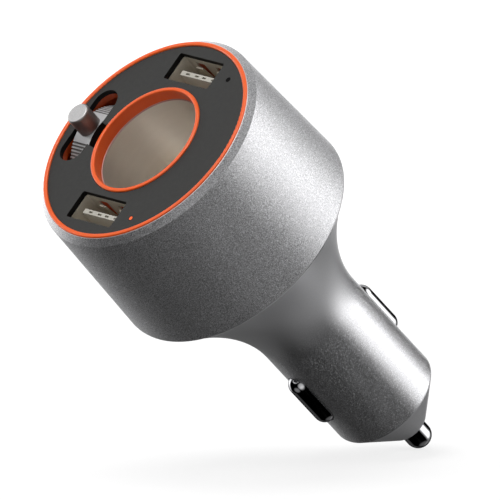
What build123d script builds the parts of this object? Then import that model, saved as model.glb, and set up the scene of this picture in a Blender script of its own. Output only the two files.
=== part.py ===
"""Car charger plug with a lighter socket in its face, two charging ports and a tilting lever.

Frame: +Z runs along the plug's axis from the tip to the face, and the origin is on the axis, at the
barrel's leading end. +X goes through the right-hand port and side contact, +Y through the lever.
"""
import math
import os

from build123d import *

os.makedirs("parts", exist_ok=True)

# Driving dimensions in millimetres

# General clearances
fit_gap = 0.05            # between pieces that seat in one another
slide_gap = 0.1           # around pieces that slide

# Plug: barrel and neck
barrel_radius = 10.3
barrel_length = 23.2
barrel_land = 5.4         # true cylinder at the leading end, below the side contacts
barrel_draft = 0.03       # growth of the radius between the land and the neck
barrel_wall = 1.5
neck_length = 24.5
neck_step = 0.09          # neck's top edge inside the head's foot
neck_straightness = 11.0  # how far the neck runs on in line with the barrel before it flares
throat_depth = 2.0        # how far the barrel's bore runs up into the neck
spigot_height = 5.0       # spigot of the plug body inside the head
spigot_wall = 1.65

# Head
head_height = 27.7
head_rim_land = 0.11      # flat of the rim outside the trim ring
head_chamfer_width = 1.05
head_chamfer_height = 1.2
head_flare = 0.94         # growth of the radius from the chamfer down to the foot
head_foot_round = 0.3

# Orange chassis: trim ring, collar, web, skirt
ring_width = 0.84
ring_rise = 0.3           # ring and collar stand this far above the face plate
ring_seat_depth = 1.4     # seat of the ring below the head's rim
ring_seat_width = 0.49
ring_round = 0.25
collar_step = 0.1         # collar's mouth outside the socket's bore
collar_width = 0.79
collar_draft = 0.06
web_thickness = 1.2
skirt_wall = 0.9
skirt_height = 7.0
post_radius = 1.8
post_clearance = 3.4      # between a post and the socket's sleeve
post_angles = (45, 135, 270)

# Face plate
plate_thickness = 1.0
plate_band = 9.16         # width of the plate between the collar and the trim ring

# Lighter socket
socket_radius = 10.5
socket_wall = 0.8
socket_depth = 23.0
socket_lip_round = 0.25
socket_bead = 0.8         # bead that rests on the board
socket_floor = 0.8
socket_floor_hole_radius = 5.0
base_flange_radius = 8.5
base_flange_height = 2.0
rivet_head_radius = 3.0
rivet_head_height = 0.7
rivet_recess = 0.2
rivet_stem_radius = 1.5
rivet_stem_length = 4.0

# Charging ports
port_clearance = 0.2      # between a port's shell and the bead of the socket's sleeve
port_width = 5.6
port_length = 12.2
port_corner = 0.4
port_shell_wall = 0.3
port_shell_depth = 14.4
port_pocket_wall = 0.8
port_pocket_depth = 8.0
port_base_height = 3.6
tongue_thickness = 1.05
tongue_face = 0.55        # contact face of the tongue, from the port's centre
tongue_width = 10.7
tongue_drop = 2.0         # end of the tongue below the top of the face plate
tongue_bevel = 0.12
tongue_bevel_height = 1.0
pin_places = (-3.5, -1.0, 1.0, 3.5)
pin_width = 1.0
pin_thickness = 0.2
pin_end_drop = 0.8        # end of a contact strip below the end of the tongue
pin_tail = 1.0            # length below the board
pin_pocket = 0.35
pin_pocket_depth = 0.6
tab_places = (-2.8, 2.8)
tab_window_width = 2.6
tab_window_height = 6.0
tab_window_drop = 1.1     # end of a tab's window below the mouth of the shell
tab_width = 1.7
tab_lean = 0.7

# Indicator lights
light_drop = 9.6          # distance of the lights from the line through both ports
light_radius = 0.47
light_flange_radius = 1.0
light_flange_height = 0.8
led_size = 1.6
led_height = 0.8
led_gap = 0.2

# Lever
lever_slot_length = 15.6
lever_slot_width = 5.5
drum_radius = 8.5
drum_width = 4.4
drum_drop = 0.2           # drum's crest below the top of the face plate
drum_reach = 100          # degrees from the crest to each end of the drum's rim
drum_rim = 1.6
drum_web = 1.6
drum_side_gap = 0.3
hub_radius = 3.2
rib_pitch = 0.6
rib_groove_radius = 0.17
rib_start = 24            # degrees from the crest to the first groove
knob_radius = 2.15
knob_rise = 3.66          # top of the knob above the face plate
knob_stem_radius = 1.3
knob_stem_length = 3.2    # how deep the knob's stem is let into the drum
knob_round = 0.35
axle_radius = 1.5
cheek_thickness = 1.1
cheek_clearance = 1.0     # between the inner cheek and the socket's sleeve
cheek_half_width = 4.5
well_gap = 0.45           # around the drum's rim inside the skirt
cheek_skirting = 1.5      # cheek below the axle
magnet_radius = 1.0
magnet_length = 1.7
magnet_seat = 1.1
notch_left = -3.5
notch_right = 1.3
notch_slant = 0.2         # sideways shift of the notch's sides per length
pad_gap = 0.1             # between the friction pad and the drum's side
pad_drop = 0.2            # top of the pad below the chassis web
pad_height = 3.8
pad_inner_gap = 0.2       # between the pad and the socket's sleeve

# Board in the head
board_thickness = 1.6
board_edge_gap = 0.3
screw_radius = 0.95
screw_head_radius = 1.8
screw_head_height = 1.2
screw_length = 7.0
capacitor_radius = 2.4
capacitor_height = 9.0
capacitor_angles = (246, 294)
inductor_size = (6.0, 6.0, 3.0)
inductor_angle = 302
chip_size = (4.0, 5.0, 1.2)
chip_angle = 238
sensor_size = (3.0, 3.0, 1.0)
ground_pin_radius = 0.5
ground_pin_angle = 225

# Nose, tip, fuse
nose_angle = 38.5         # degrees between the cone and the axis
nose_edge_round = 0.6
nose_edge_margin = 0.01
nose_end_land = 1.11      # flat end of the nose around the tip, before rounding
nose_end_round = 1.2
nose_bore_length = 2.2
nose_chamber_gap = 0.3
nose_chamber_length = 5.0
nose_spigot_height = 2.3
nose_spigot_wall = 1.75
tip_radius = 2.43
tip_reach = 5.43          # end of the tip beyond the nose
tip_flange_width = 1.17
tip_flange_height = 1.3
fuse_radius = 2.6
fuse_length = 20.0
fuse_cap_length = 5.0
fuse_cap_wall = 0.3
fuse_overhang = 0.3       # end of the fuse below the carrier
fuse_contact_radius = 4.0
fuse_contact_height = 0.5
wire_radius = 0.6
feed_wire_clearance = 2.1  # between the feed wire and the socket's sleeve
feed_wire_bend = 3.0

# Side contacts
contact_height = 12.5     # middle of a side contact above the barrel's leading end
contact_length = 12.0
contact_width = 4.2
contact_rise = 1.6        # crest above the barrel
contact_crest = 0.2       # flat left along the crest
contact_flange_margin = 0.8
contact_flange_thickness = 1.0
contact_flange_inset = 0.7  # flange's outer face inside the barrel's bore
carrier_wall = 0.9        # wall of the carrier around the fuse

# Springs
tip_spring_radius = 2.2
tip_spring_wire = 0.5
tip_spring_turns = 5
side_spring_radius = 1.4
side_spring_wire = 0.35
side_spring_turns = 4

# Nose sizes that follow from its angle
nose_slope = math.tan(math.radians(nose_angle))
nose_edge = nose_edge_round * math.tan(math.radians(nose_angle / 2)) + nose_edge_margin
nose_end_radius = tip_radius + nose_end_land
nose_length = nose_edge + (barrel_radius - nose_end_radius) / nose_slope

# Levels along the axis
z_neck = barrel_length
z_head = z_neck + neck_length
z_face = z_head + head_height
z_ring = z_face + ring_rise
z_plate = z_face - plate_thickness
z_web = z_plate - web_thickness
z_board = z_plate - slide_gap - port_shell_depth
z_board_under = z_board - board_thickness
z_drum = z_face - drum_drop - drum_radius
z_socket_floor = z_web - socket_depth
z_rivet = z_socket_floor - rivet_recess - rivet_head_height
z_rivet_end = z_rivet - rivet_stem_length
z_nose_end = -nose_length
z_nose_shoulder = z_nose_end + nose_bore_length
z_carrier = nose_spigot_height
z_fuse = z_carrier - fuse_overhang
z_carrier_top = z_fuse + fuse_length

# Radii, from the socket outwards to the head
sleeve_radius = socket_radius + socket_wall
collar_inner_radius = socket_radius + collar_step
collar_outer_radius = collar_inner_radius + collar_width
ring_inner_radius = collar_outer_radius + plate_band
ring_outer_radius = ring_inner_radius + ring_width
head_rim_radius = ring_outer_radius + head_rim_land
head_shoulder_radius = head_rim_radius + head_chamfer_width
head_foot_radius = head_shoulder_radius + head_flare
head_bore_radius = ring_outer_radius - ring_seat_width
neck_top_radius = head_foot_radius - neck_step
spigot_radius = head_bore_radius - fit_gap
spigot_bore = spigot_radius - spigot_wall
skirt_radius = head_bore_radius - slide_gap
board_radius = head_bore_radius - board_edge_gap
board_hole_radius = sleeve_radius + 2 * slide_gap

# Places around the socket
shell_width = port_width + 2 * port_shell_wall
shell_length = port_length + 2 * port_shell_wall
shell_corner = port_corner + port_shell_wall
port_offset = sleeve_radius + socket_bead + port_clearance + shell_width / 2
light_places = ((-port_offset, -light_drop), (port_offset, -light_drop))
cheek_face = drum_width / 2 + drum_side_gap
cheek_outer = cheek_face + cheek_thickness
lever_offset = sleeve_radius + cheek_clearance + cheek_outer
drum_axis_plane = Plane.XZ.offset(-lever_offset)
feed_wire_offset = sleeve_radius + feed_wire_clearance + wire_radius
post_circle_radius = sleeve_radius + post_clearance + post_radius
post_places = [
    (post_circle_radius * math.cos(math.radians(angle)), post_circle_radius * math.sin(math.radians(angle)))
    for angle in post_angles
]

# Inside the barrel and the nose
barrel_bore = barrel_radius - barrel_wall
flange_face = barrel_bore - contact_flange_inset
flange_back = flange_face - contact_flange_thickness
fuse_well_radius = fuse_radius + slide_gap
spring_seat = fuse_well_radius + carrier_wall
tip_flange_radius = tip_radius + tip_flange_width
nose_chamber_radius = tip_flange_radius + nose_chamber_gap
sides = (("left", -1), ("right", 1))


def save(piece, name):
    """Label a finished piece and write it to its own file."""
    piece.part.label = name
    export_step(piece.part, f"parts/{name}.step")


def notch_outline(margin, inner_edge):
    """Corners of the slanted notch between the drum's side and an inner edge, drawn in by a margin."""
    drum_edge = lever_offset - drum_width / 2 - pad_gap
    shift = notch_slant * (drum_edge - inner_edge)
    return (
        (notch_left + margin, drum_edge),
        (notch_right - margin, drum_edge),
        (notch_right - margin - shift, inner_edge),
        (notch_left + margin - shift, inner_edge),
    )


# Head shell: a slightly conical metal tube with a chamfered rim and a seat for the trim ring
with BuildPart() as head_shell:
    with BuildSketch(Plane.XZ):
        with BuildLine():
            Polyline(
                (head_bore_radius, z_head),
                (head_foot_radius, z_head),
                (head_shoulder_radius, z_face - head_chamfer_height),
                (head_rim_radius, z_face),
                (ring_outer_radius + fit_gap, z_face),
                (ring_outer_radius + fit_gap, z_face - ring_seat_depth),
                (head_bore_radius, z_face - ring_seat_depth),
                close=True,
            )
        make_face()
    revolve(axis=Axis.Z)
    foot_edge = head_shell.edges().filter_by(GeomType.CIRCLE).group_by(Axis.Z)[0].sort_by(SortBy.RADIUS)[-1]
    fillet(foot_edge, head_foot_round)
save(head_shell, "head_shell")

# Plug body: flared neck and barrel in one piece, with a slot in the barrel for each side contact
with BuildPart() as plug_body:
    neck_radius = barrel_radius + barrel_draft
    z_throat = z_neck + throat_depth
    z_spigot = z_head + spigot_height
    with BuildSketch(Plane.XZ):
        with BuildLine():
            Polyline((barrel_bore, 0), (barrel_radius, 0), (barrel_radius, barrel_land), (neck_radius, z_neck))
            Bezier((neck_radius, z_neck), (neck_radius, z_neck + neck_straightness), (neck_top_radius, z_head))
            Polyline(
                (neck_top_radius, z_head),
                (spigot_radius, z_head),
                (spigot_radius, z_spigot),
                (spigot_bore, z_spigot),
                (spigot_bore, z_head),
            )
            Bezier((spigot_bore, z_head), (barrel_bore, z_throat + neck_straightness), (barrel_bore, z_throat))
            Line((barrel_bore, z_throat), (barrel_bore, 0))
        make_face()
    revolve(axis=Axis.Z)
    with BuildSketch(Plane.YZ):
        with Locations((0, contact_height)):
            SlotOverall(contact_length + 2 * slide_gap, contact_width + 2 * slide_gap, rotation=90)
    extrude(amount=neck_radius + contact_rise, both=True, mode=Mode.SUBTRACT)
save(plug_body, "plug_body")

# Nose cap: cone with a bore for the tip, a chamber for its flange and a spigot inside the barrel
with BuildPart() as nose_cap:
    z_chamber_top = z_nose_shoulder + nose_chamber_length
    nose_spigot_radius = barrel_bore - fit_gap
    with BuildSketch(Plane.XZ) as nose_section:
        with BuildLine():
            Polyline(
                (tip_radius + slide_gap, z_nose_end),
                (nose_end_radius, z_nose_end),
                (barrel_radius, -nose_edge),
                (barrel_radius, 0),
                (nose_spigot_radius, 0),
                (nose_spigot_radius, nose_spigot_height),
                (nose_spigot_radius - nose_spigot_wall, nose_spigot_height),
                (nose_chamber_radius, z_chamber_top),
                (nose_chamber_radius, z_nose_shoulder),
                (tip_radius + slide_gap, z_nose_shoulder),
                close=True,
            )
        make_face()
        fillet(nose_section.vertices().sort_by_distance((barrel_radius, -nose_edge))[0], nose_edge_round)
        fillet(nose_section.vertices().sort_by_distance((nose_end_radius, z_nose_end))[0], nose_end_round)
    revolve(axis=Axis.Z)
save(nose_cap, "nose_cap")

# Tip contact: domed pin whose flange rests on the nose cap's shoulder
with BuildPart() as tip_contact:
    z_dome = z_nose_end - tip_reach + tip_radius
    z_flange = z_nose_shoulder + tip_flange_height
    with BuildSketch(Plane.XZ):
        with BuildLine():
            RadiusArc((0, z_dome - tip_radius), (tip_radius, z_dome), -tip_radius)
            Polyline(
                (tip_radius, z_dome),
                (tip_radius, z_nose_shoulder),
                (tip_flange_radius, z_nose_shoulder),
                (tip_flange_radius, z_flange),
                (0, z_flange),
                (0, z_dome - tip_radius),
            )
        make_face()
    revolve(axis=Axis.Z)
save(tip_contact, "tip_contact")

# Tip spring: from the tip's flange to the end of the fuse
with BuildPart() as tip_spring:
    tip_spring_height = z_fuse - z_flange - tip_spring_wire - 2 * fit_gap
    with BuildLine() as tip_coil:
        Helix(
            pitch=tip_spring_height / tip_spring_turns,
            height=tip_spring_height,
            radius=tip_spring_radius,
            center=(0, 0, z_flange + tip_spring_wire / 2 + fit_gap),
        )
    with BuildSketch(Plane(origin=tip_coil.line @ 0, z_dir=tip_coil.line % 0)):
        Circle(tip_spring_wire / 2)
    sweep(is_frenet=True)
save(tip_spring, "tip_spring")

# Contact carrier: insulating core of the barrel with a well for the fuse and a pocket for each contact
with BuildPart() as contact_carrier:
    with BuildSketch(Plane.XY.offset(z_carrier)):
        Circle(barrel_bore - slide_gap)
        Circle(fuse_well_radius, mode=Mode.SUBTRACT)
    extrude(amount=z_carrier_top - z_carrier)
    pocket_width = contact_width + 2 * contact_flange_margin + 2 * slide_gap
    pocket_length = contact_length + 2 * contact_flange_margin + 2 * slide_gap
    pocket_depth = barrel_bore - spring_seat
    with Locations(*[(side * (spring_seat + pocket_depth / 2), 0, contact_height) for _, side in sides]):
        Box(pocket_depth, pocket_width, pocket_length, mode=Mode.SUBTRACT)
save(contact_carrier, "contact_carrier")

# Side contacts: half-round bars on a flange that keeps them in the barrel, each with its spring
for side_name, side in sides:
    outward = Plane(origin=(0, 0, contact_height), x_dir=(0, 1, 0), z_dir=(side, 0, 0))
    with BuildPart() as side_contact:
        with BuildSketch(outward.offset(flange_face)):
            SlotOverall(contact_length, contact_width, rotation=90)
        extrude(amount=barrel_radius + contact_rise - flange_face)
        crest_edges = side_contact.faces().sort_by(Axis.X)[-1 if side > 0 else 0].edges()
        fillet(crest_edges, (contact_width - contact_crest) / 2)
        with BuildSketch(outward.offset(flange_back)):
            Rectangle(contact_width + 2 * contact_flange_margin, contact_length + 2 * contact_flange_margin)
        extrude(amount=contact_flange_thickness)
    save(side_contact, f"side_contact_{side_name}")

    with BuildPart() as side_spring:
        coil_start = spring_seat + side_spring_wire / 2 + fit_gap
        coil_length = flange_back - spring_seat - side_spring_wire - 2 * fit_gap
        with BuildLine() as side_coil:
            Helix(
                pitch=coil_length / side_spring_turns,
                height=coil_length,
                radius=side_spring_radius,
                center=(side * coil_start, 0, contact_height),
                direction=(side, 0, 0),
            )
        with BuildSketch(Plane(origin=side_coil.line @ 0, z_dir=side_coil.line % 0)):
            Circle(side_spring_wire / 2)
        sweep(is_frenet=True)
    save(side_spring, f"side_spring_{side_name}")

# Fuse: glass tube with a metal cap on each end, in the carrier's well
with BuildPart() as fuse_glass:
    with BuildSketch(Plane.XY.offset(z_fuse + fuse_cap_wall)):
        Circle(fuse_radius - fuse_cap_wall)
    extrude(amount=fuse_length - 2 * fuse_cap_wall)
save(fuse_glass, "fuse_glass")

with BuildPart() as fuse_caps:
    for z_cap in (z_fuse, z_fuse + fuse_length - fuse_cap_length):
        with BuildSketch(Plane.XY.offset(z_cap)):
            Circle(fuse_radius)
        extrude(amount=fuse_cap_length)
    with BuildSketch(Plane.XY.offset(z_fuse + fuse_cap_wall)):
        Circle(fuse_radius - fuse_cap_wall)
    extrude(amount=fuse_length - 2 * fuse_cap_wall, mode=Mode.SUBTRACT)
save(fuse_caps, "fuse_caps")

# Fuse contact: disc on the fuse's upper cap, where the supply wire starts
with BuildPart() as fuse_contact:
    with BuildSketch(Plane.XY.offset(z_carrier_top)):
        Circle(fuse_contact_radius)
    extrude(amount=fuse_contact_height)
save(fuse_contact, "fuse_contact")

# Supply wire: from the fuse contact up to the rivet under the lighter socket
with BuildPart() as supply_wire:
    z_supply = z_carrier_top + fuse_contact_height
    with BuildSketch(Plane.XY.offset(z_supply)):
        Circle(wire_radius)
    extrude(amount=z_rivet_end - z_supply)
save(supply_wire, "supply_wire")

# Feed wire: from the rivet's stem out and up to the board
with BuildPart() as feed_wire:
    z_feed = z_rivet_end + rivet_stem_length / 2 - wire_radius
    with BuildLine() as feed_path:
        FilletPolyline(
            (0, rivet_stem_radius + fit_gap, z_feed),
            (0, feed_wire_offset, z_feed),
            (0, feed_wire_offset, z_board_under),
            radius=feed_wire_bend,
        )
    with BuildSketch(Plane.XZ.offset(-(rivet_stem_radius + fit_gap))):
        with Locations((0, z_feed)):
            Circle(wire_radius)
    sweep(path=feed_path.line)
save(feed_wire, "feed_wire")

# Socket sleeve: metal cup of the lighter socket, with a rolled lip, a bead and a hole in its floor
with BuildPart() as socket_sleeve:
    with BuildSketch(Plane.XZ) as sleeve_section:
        with BuildLine():
            Polyline(
                (socket_floor_hole_radius, z_socket_floor - socket_floor),
                (sleeve_radius, z_socket_floor - socket_floor),
                (sleeve_radius, z_board),
                (sleeve_radius + socket_bead, z_board),
                (sleeve_radius + socket_bead, z_board + socket_bead),
                (sleeve_radius, z_board + socket_bead),
                (sleeve_radius, z_web),
                (socket_radius, z_web),
                (socket_radius, z_socket_floor),
                (socket_floor_hole_radius, z_socket_floor),
                close=True,
            )
        make_face()
        lip = sleeve_section.vertices().sort_by_distance((socket_radius, z_web))[0]
        fillet(lip, socket_lip_round)
    revolve(axis=Axis.Z)
save(socket_sleeve, "socket_sleeve")

# Socket base: insulator under the sleeve's floor, with a recess for the centre contact
with BuildPart() as socket_base:
    z_base = z_socket_floor - socket_floor - base_flange_height
    with BuildSketch(Plane.XZ):
        with BuildLine():
            Polyline(
                (rivet_stem_radius + fit_gap, z_base),
                (base_flange_radius, z_base),
                (base_flange_radius, z_socket_floor - socket_floor),
                (socket_floor_hole_radius - fit_gap, z_socket_floor - socket_floor),
                (socket_floor_hole_radius - fit_gap, z_socket_floor),
                (rivet_head_radius + fit_gap, z_socket_floor),
                (rivet_head_radius + fit_gap, z_rivet),
                (rivet_stem_radius + fit_gap, z_rivet),
                close=True,
            )
        make_face()
    revolve(axis=Axis.Z)
save(socket_base, "socket_base")

# Socket contact: rivet in the middle of the insulator
with BuildPart() as socket_contact:
    with BuildSketch(Plane.XY.offset(z_rivet)):
        Circle(rivet_head_radius)
    extrude(amount=rivet_head_height)
    with BuildSketch(Plane.XY.offset(z_rivet)):
        Circle(rivet_stem_radius)
    extrude(amount=-rivet_stem_length)
save(socket_contact, "socket_contact")

# Chassis: orange moulding with trim ring, web, skirt, port pockets, lever cheeks and posts
with BuildPart() as chassis:
    with BuildSketch(Plane.XZ):
        with BuildLine():
            Polyline(
                (collar_inner_radius + collar_draft, z_web),
                (skirt_radius - skirt_wall, z_web),
                (skirt_radius - skirt_wall, z_web - skirt_height),
                (skirt_radius, z_web - skirt_height),
                (skirt_radius, z_face - ring_seat_depth),
                (ring_outer_radius, z_face - ring_seat_depth),
                (ring_outer_radius, z_ring),
                (ring_inner_radius, z_ring),
                (ring_inner_radius, z_plate),
                (collar_inner_radius + collar_draft, z_plate),
                close=True,
            )
        make_face()
    revolve(axis=Axis.Z)
    with BuildSketch(Plane.XY.offset(z_web)):
        with Locations((-port_offset, 0), (port_offset, 0)):
            Rectangle(
                shell_width + 2 * (slide_gap + port_pocket_wall),
                shell_length + 2 * (slide_gap + port_pocket_wall),
            )
        Circle(skirt_radius, mode=Mode.INTERSECT)
        Circle(sleeve_radius + slide_gap, mode=Mode.SUBTRACT)
    extrude(amount=-port_pocket_depth)
    with BuildSketch(Plane.XY.offset(z_web)):
        with Locations((0, lever_offset)):
            Rectangle(2 * cheek_half_width, 2 * cheek_outer)
            Rectangle(2 * cheek_half_width, 2 * cheek_face, mode=Mode.SUBTRACT)
        Circle(skirt_radius, mode=Mode.INTERSECT)
        Circle(sleeve_radius + slide_gap, mode=Mode.SUBTRACT)
    extrude(amount=-(z_web - z_drum + axle_radius + cheek_skirting))
    with BuildSketch(Plane.XY.offset(z_web)):
        with Locations(*post_places):
            Circle(post_radius)
    extrude(amount=-(z_web - z_board))
    with BuildSketch(Plane.XY.offset(z_board)):
        with Locations(*post_places):
            Circle(screw_radius + fit_gap)
    extrude(amount=screw_length, mode=Mode.SUBTRACT)
    with BuildSketch(Plane.XY.offset(z_plate)):
        with Locations((-port_offset, 0), (port_offset, 0)):
            Rectangle(shell_width + 2 * slide_gap, shell_length + 2 * slide_gap)
    extrude(amount=-(web_thickness + port_pocket_depth), mode=Mode.SUBTRACT)
    with BuildSketch(Plane.XY.offset(z_plate)):
        with Locations((0, lever_offset)):
            SlotOverall(lever_slot_length, lever_slot_width)
        with Locations(*light_places):
            Circle(light_radius + fit_gap)
    extrude(amount=-web_thickness, mode=Mode.SUBTRACT)
    with BuildSketch(Plane.XY.offset(z_plate)):
        with BuildLine():
            Polyline(*notch_outline(0, collar_inner_radius), close=True)
        make_face()
    extrude(amount=-(web_thickness + pad_drop + pad_height), mode=Mode.SUBTRACT)
    with BuildSketch(Plane.XY.offset(z_web)):
        with Locations((0, lever_offset)):
            Rectangle(2 * (drum_radius + well_gap), 2 * cheek_face)
    extrude(amount=-(skirt_height + drum_radius), mode=Mode.SUBTRACT)
    with BuildSketch(drum_axis_plane):
        with Locations((0, z_drum)):
            Circle(axle_radius + fit_gap)
    extrude(amount=cheek_outer, both=True, mode=Mode.SUBTRACT)
    with BuildSketch(Plane.XZ):
        with BuildLine():
            Polyline(
                (collar_inner_radius + collar_draft, z_web),
                (collar_outer_radius, z_web),
                (collar_outer_radius, z_ring),
                (collar_inner_radius, z_ring),
                close=True,
            )
        make_face()
    revolve(axis=Axis.Z)
    top_edges = chassis.edges().filter_by(GeomType.CIRCLE).filter_by_position(Axis.Z, z_ring, z_ring)
    fillet(top_edges, ring_round)
save(chassis, "chassis")

# Face plate: dark disc between collar and trim ring, with cut-outs for ports, lever and lights
with BuildPart() as face_plate:
    with BuildSketch(Plane.XY.offset(z_plate)):
        Circle(ring_inner_radius - fit_gap)
        Circle(collar_outer_radius + fit_gap, mode=Mode.SUBTRACT)
        with Locations((-port_offset, 0), (port_offset, 0)):
            RectangleRounded(port_width, port_length, port_corner, mode=Mode.SUBTRACT)
        with Locations((0, lever_offset)):
            SlotOverall(lever_slot_length, lever_slot_width, mode=Mode.SUBTRACT)
        with Locations(*light_places):
            Circle(light_radius + fit_gap, mode=Mode.SUBTRACT)
        with BuildLine():
            Polyline(*notch_outline(0, collar_inner_radius), close=True)
        make_face(mode=Mode.SUBTRACT)
    extrude(amount=plate_thickness)
save(face_plate, "face_plate")

# Friction pad: block in the notch of the inner cheek that bears on the drum's side
with BuildPart() as friction_pad:
    with BuildSketch(Plane.XY.offset(z_web - pad_drop)):
        with BuildLine():
            Polyline(*notch_outline(fit_gap, sleeve_radius + pad_inner_gap), close=True)
        make_face()
    extrude(amount=-pad_height)
save(friction_pad, "friction_pad")

# Lever drum: ribbed rim that closes the slot, on a web and a hub that turns on the axle
with BuildPart() as lever_drum:
    rib_step = math.degrees(rib_pitch / drum_radius)
    rib_count = int((drum_reach - rib_start) / rib_step)
    with BuildSketch(drum_axis_plane):
        with Locations((0, z_drum)):
            Circle(drum_radius)
            with Locations((0, drum_radius * math.cos(math.radians(drum_reach)))):
                Rectangle(4 * drum_radius, 2 * drum_radius, align=(Align.CENTER, Align.MAX), mode=Mode.SUBTRACT)
            Circle(hub_radius)
            for first in (90 - rib_start, 90 + rib_start):
                turn = -rib_step if first < 90 else rib_step
                with PolarLocations(drum_radius, rib_count, first, turn * rib_count):
                    Circle(rib_groove_radius, mode=Mode.SUBTRACT)
            Circle(axle_radius + fit_gap, mode=Mode.SUBTRACT)
    extrude(amount=drum_width / 2, both=True)
    for face_side in (-1, 1):
        with BuildSketch(drum_axis_plane.offset(face_side * drum_web / 2)):
            with Locations((0, z_drum)):
                Circle(drum_radius - drum_rim)
                with Locations((0, drum_radius * math.cos(math.radians(drum_reach)) + drum_rim)):
                    Rectangle(
                        4 * drum_radius, 2 * drum_radius, align=(Align.CENTER, Align.MAX), mode=Mode.SUBTRACT
                    )
                Circle(hub_radius, mode=Mode.SUBTRACT)
                Rectangle(2 * (knob_stem_radius + drum_rim), 3 * drum_radius, mode=Mode.SUBTRACT)
        extrude(amount=face_side * (drum_width - drum_web) / 2, mode=Mode.SUBTRACT)
    with Locations((0, lever_offset, z_drum + drum_radius)):
        Cylinder(knob_stem_radius + fit_gap / 2, 2 * knob_stem_length, mode=Mode.SUBTRACT)
    with Locations((0, lever_offset, z_drum - hub_radius)):
        Cylinder(magnet_radius + fit_gap / 2, 2 * magnet_seat, mode=Mode.SUBTRACT)
save(lever_drum, "lever_drum")

# Lever knob: cylinder with a rounded top edge, saddled on the drum and let into it by a stem
with BuildPart() as lever_knob:
    z_crest = z_drum + drum_radius
    with BuildSketch(Plane.XY.offset(z_drum)):
        with Locations((0, lever_offset)):
            Circle(knob_radius)
    extrude(amount=z_face + knob_rise - z_drum)
    fillet(lever_knob.edges().group_by(Axis.Z)[-1], knob_round)
    with BuildSketch(drum_axis_plane):
        with Locations((0, z_drum)):
            Circle(drum_radius)
    extrude(amount=2 * knob_radius, both=True, mode=Mode.SUBTRACT)
    with BuildSketch(Plane.XY.offset(z_crest - knob_stem_length)):
        with Locations((0, lever_offset)):
            Circle(knob_stem_radius)
    extrude(amount=knob_stem_length)
save(lever_knob, "lever_knob")

# Lever magnet: in the underside of the hub, read by the sensor on the board
with BuildPart() as lever_magnet:
    with BuildSketch(Plane.XY.offset(z_drum - hub_radius + magnet_seat)):
        with Locations((0, lever_offset)):
            Circle(magnet_radius)
    extrude(amount=-magnet_length)
save(lever_magnet, "lever_magnet")

# Lever axle: through both cheeks of the chassis
with BuildPart() as lever_axle:
    with BuildSketch(drum_axis_plane):
        with Locations((0, z_drum)):
            Circle(axle_radius)
    extrude(amount=cheek_outer, both=True)
save(lever_axle, "lever_axle")

# Charging ports: a folded shell with spring tabs, a plastic tongue and its four contacts
for side_name, side in sides:
    port_x = side * port_offset
    with BuildPart() as usb_shell:
        with BuildSketch(Plane.XY.offset(z_board)):
            with Locations((port_x, 0)):
                RectangleRounded(shell_width, shell_length, shell_corner)
                RectangleRounded(port_width, port_length, port_corner, mode=Mode.SUBTRACT)
        extrude(amount=port_shell_depth)
        z_window = z_board + port_shell_depth - tab_window_drop - tab_window_height
        z_window_middle = z_window + tab_window_height / 2
        with Locations(*[(port_x, y, z_window_middle) for y in tab_places]):
            Box(2 * shell_width, tab_window_width, tab_window_height, mode=Mode.SUBTRACT)
        for wall_side in (-1, 1):
            inner_x = port_x + wall_side * port_width / 2
            outer_x = inner_x + wall_side * port_shell_wall
            lean = wall_side * tab_lean
            for y in tab_places:
                with BuildSketch(Plane.XZ.offset(-y)):
                    with BuildLine():
                        Polyline(
                            (inner_x, z_window - port_shell_wall),
                            (outer_x, z_window - port_shell_wall),
                            (outer_x, z_window),
                            (outer_x - lean, z_window + tab_window_height - 2 * port_shell_wall),
                            (inner_x - lean, z_window + tab_window_height - 2 * port_shell_wall),
                            (inner_x, z_window),
                            close=True,
                        )
                    make_face()
                extrude(amount=tab_width / 2, both=True)
    save(usb_shell, f"usb_shell_{side_name}")

    with BuildPart() as usb_tongue:
        contact_x = port_x + tongue_face
        back_x = contact_x - tongue_thickness
        z_tongue = z_face - tongue_drop
        with BuildSketch(Plane.XY.offset(z_board)):
            with Locations((port_x, 0)):
                RectangleRounded(port_width - 2 * fit_gap, port_length - 2 * fit_gap, port_corner)
        extrude(amount=port_base_height)
        with BuildSketch(Plane.XZ):
            with BuildLine():
                Polyline(
                    (back_x, z_board + port_base_height),
                    (contact_x, z_board + port_base_height),
                    (contact_x, z_tongue),
                    (back_x + tongue_bevel, z_tongue),
                    (back_x, z_tongue - tongue_bevel_height),
                    close=True,
                )
            make_face()
        extrude(amount=tongue_width / 2, both=True)
        with Locations(*[(contact_x + pin_thickness / 2, y, z_board + port_base_height / 2) for y in pin_places]):
            Box(pin_thickness, pin_width, port_base_height, mode=Mode.SUBTRACT)
        pocket_x = (back_x + tongue_bevel + contact_x) / 2
        with Locations(*[(pocket_x, y, z_tongue) for y in pin_places]):
            Box(pin_pocket, pin_width, 2 * pin_pocket_depth, mode=Mode.SUBTRACT)
    save(usb_tongue, f"usb_tongue_{side_name}")

    with BuildPart() as usb_contacts:
        with BuildSketch(Plane.XY.offset(z_board_under - pin_tail)):
            with Locations(*[(contact_x + pin_thickness / 2, y) for y in pin_places]):
                Rectangle(pin_thickness, pin_width)
        extrude(amount=z_tongue - pin_end_drop - (z_board_under - pin_tail))
    save(usb_contacts, f"usb_contacts_{side_name}")

# Light pipes: clear rods from the board's lights to the face, each with a flange under the web
for (side_name, side), (light_x, light_y) in zip(sides, light_places):
    with BuildPart() as light_pipe:
        with BuildSketch(Plane.XY.offset(z_board + led_height + led_gap)):
            with Locations((light_x, light_y)):
                Circle(light_radius)
        extrude(amount=z_face - (z_board + led_height + led_gap))
        with BuildSketch(Plane.XY.offset(z_web)):
            with Locations((light_x, light_y)):
                Circle(light_flange_radius)
        extrude(amount=-light_flange_height)
    save(light_pipe, f"light_pipe_{side_name}")

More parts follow.
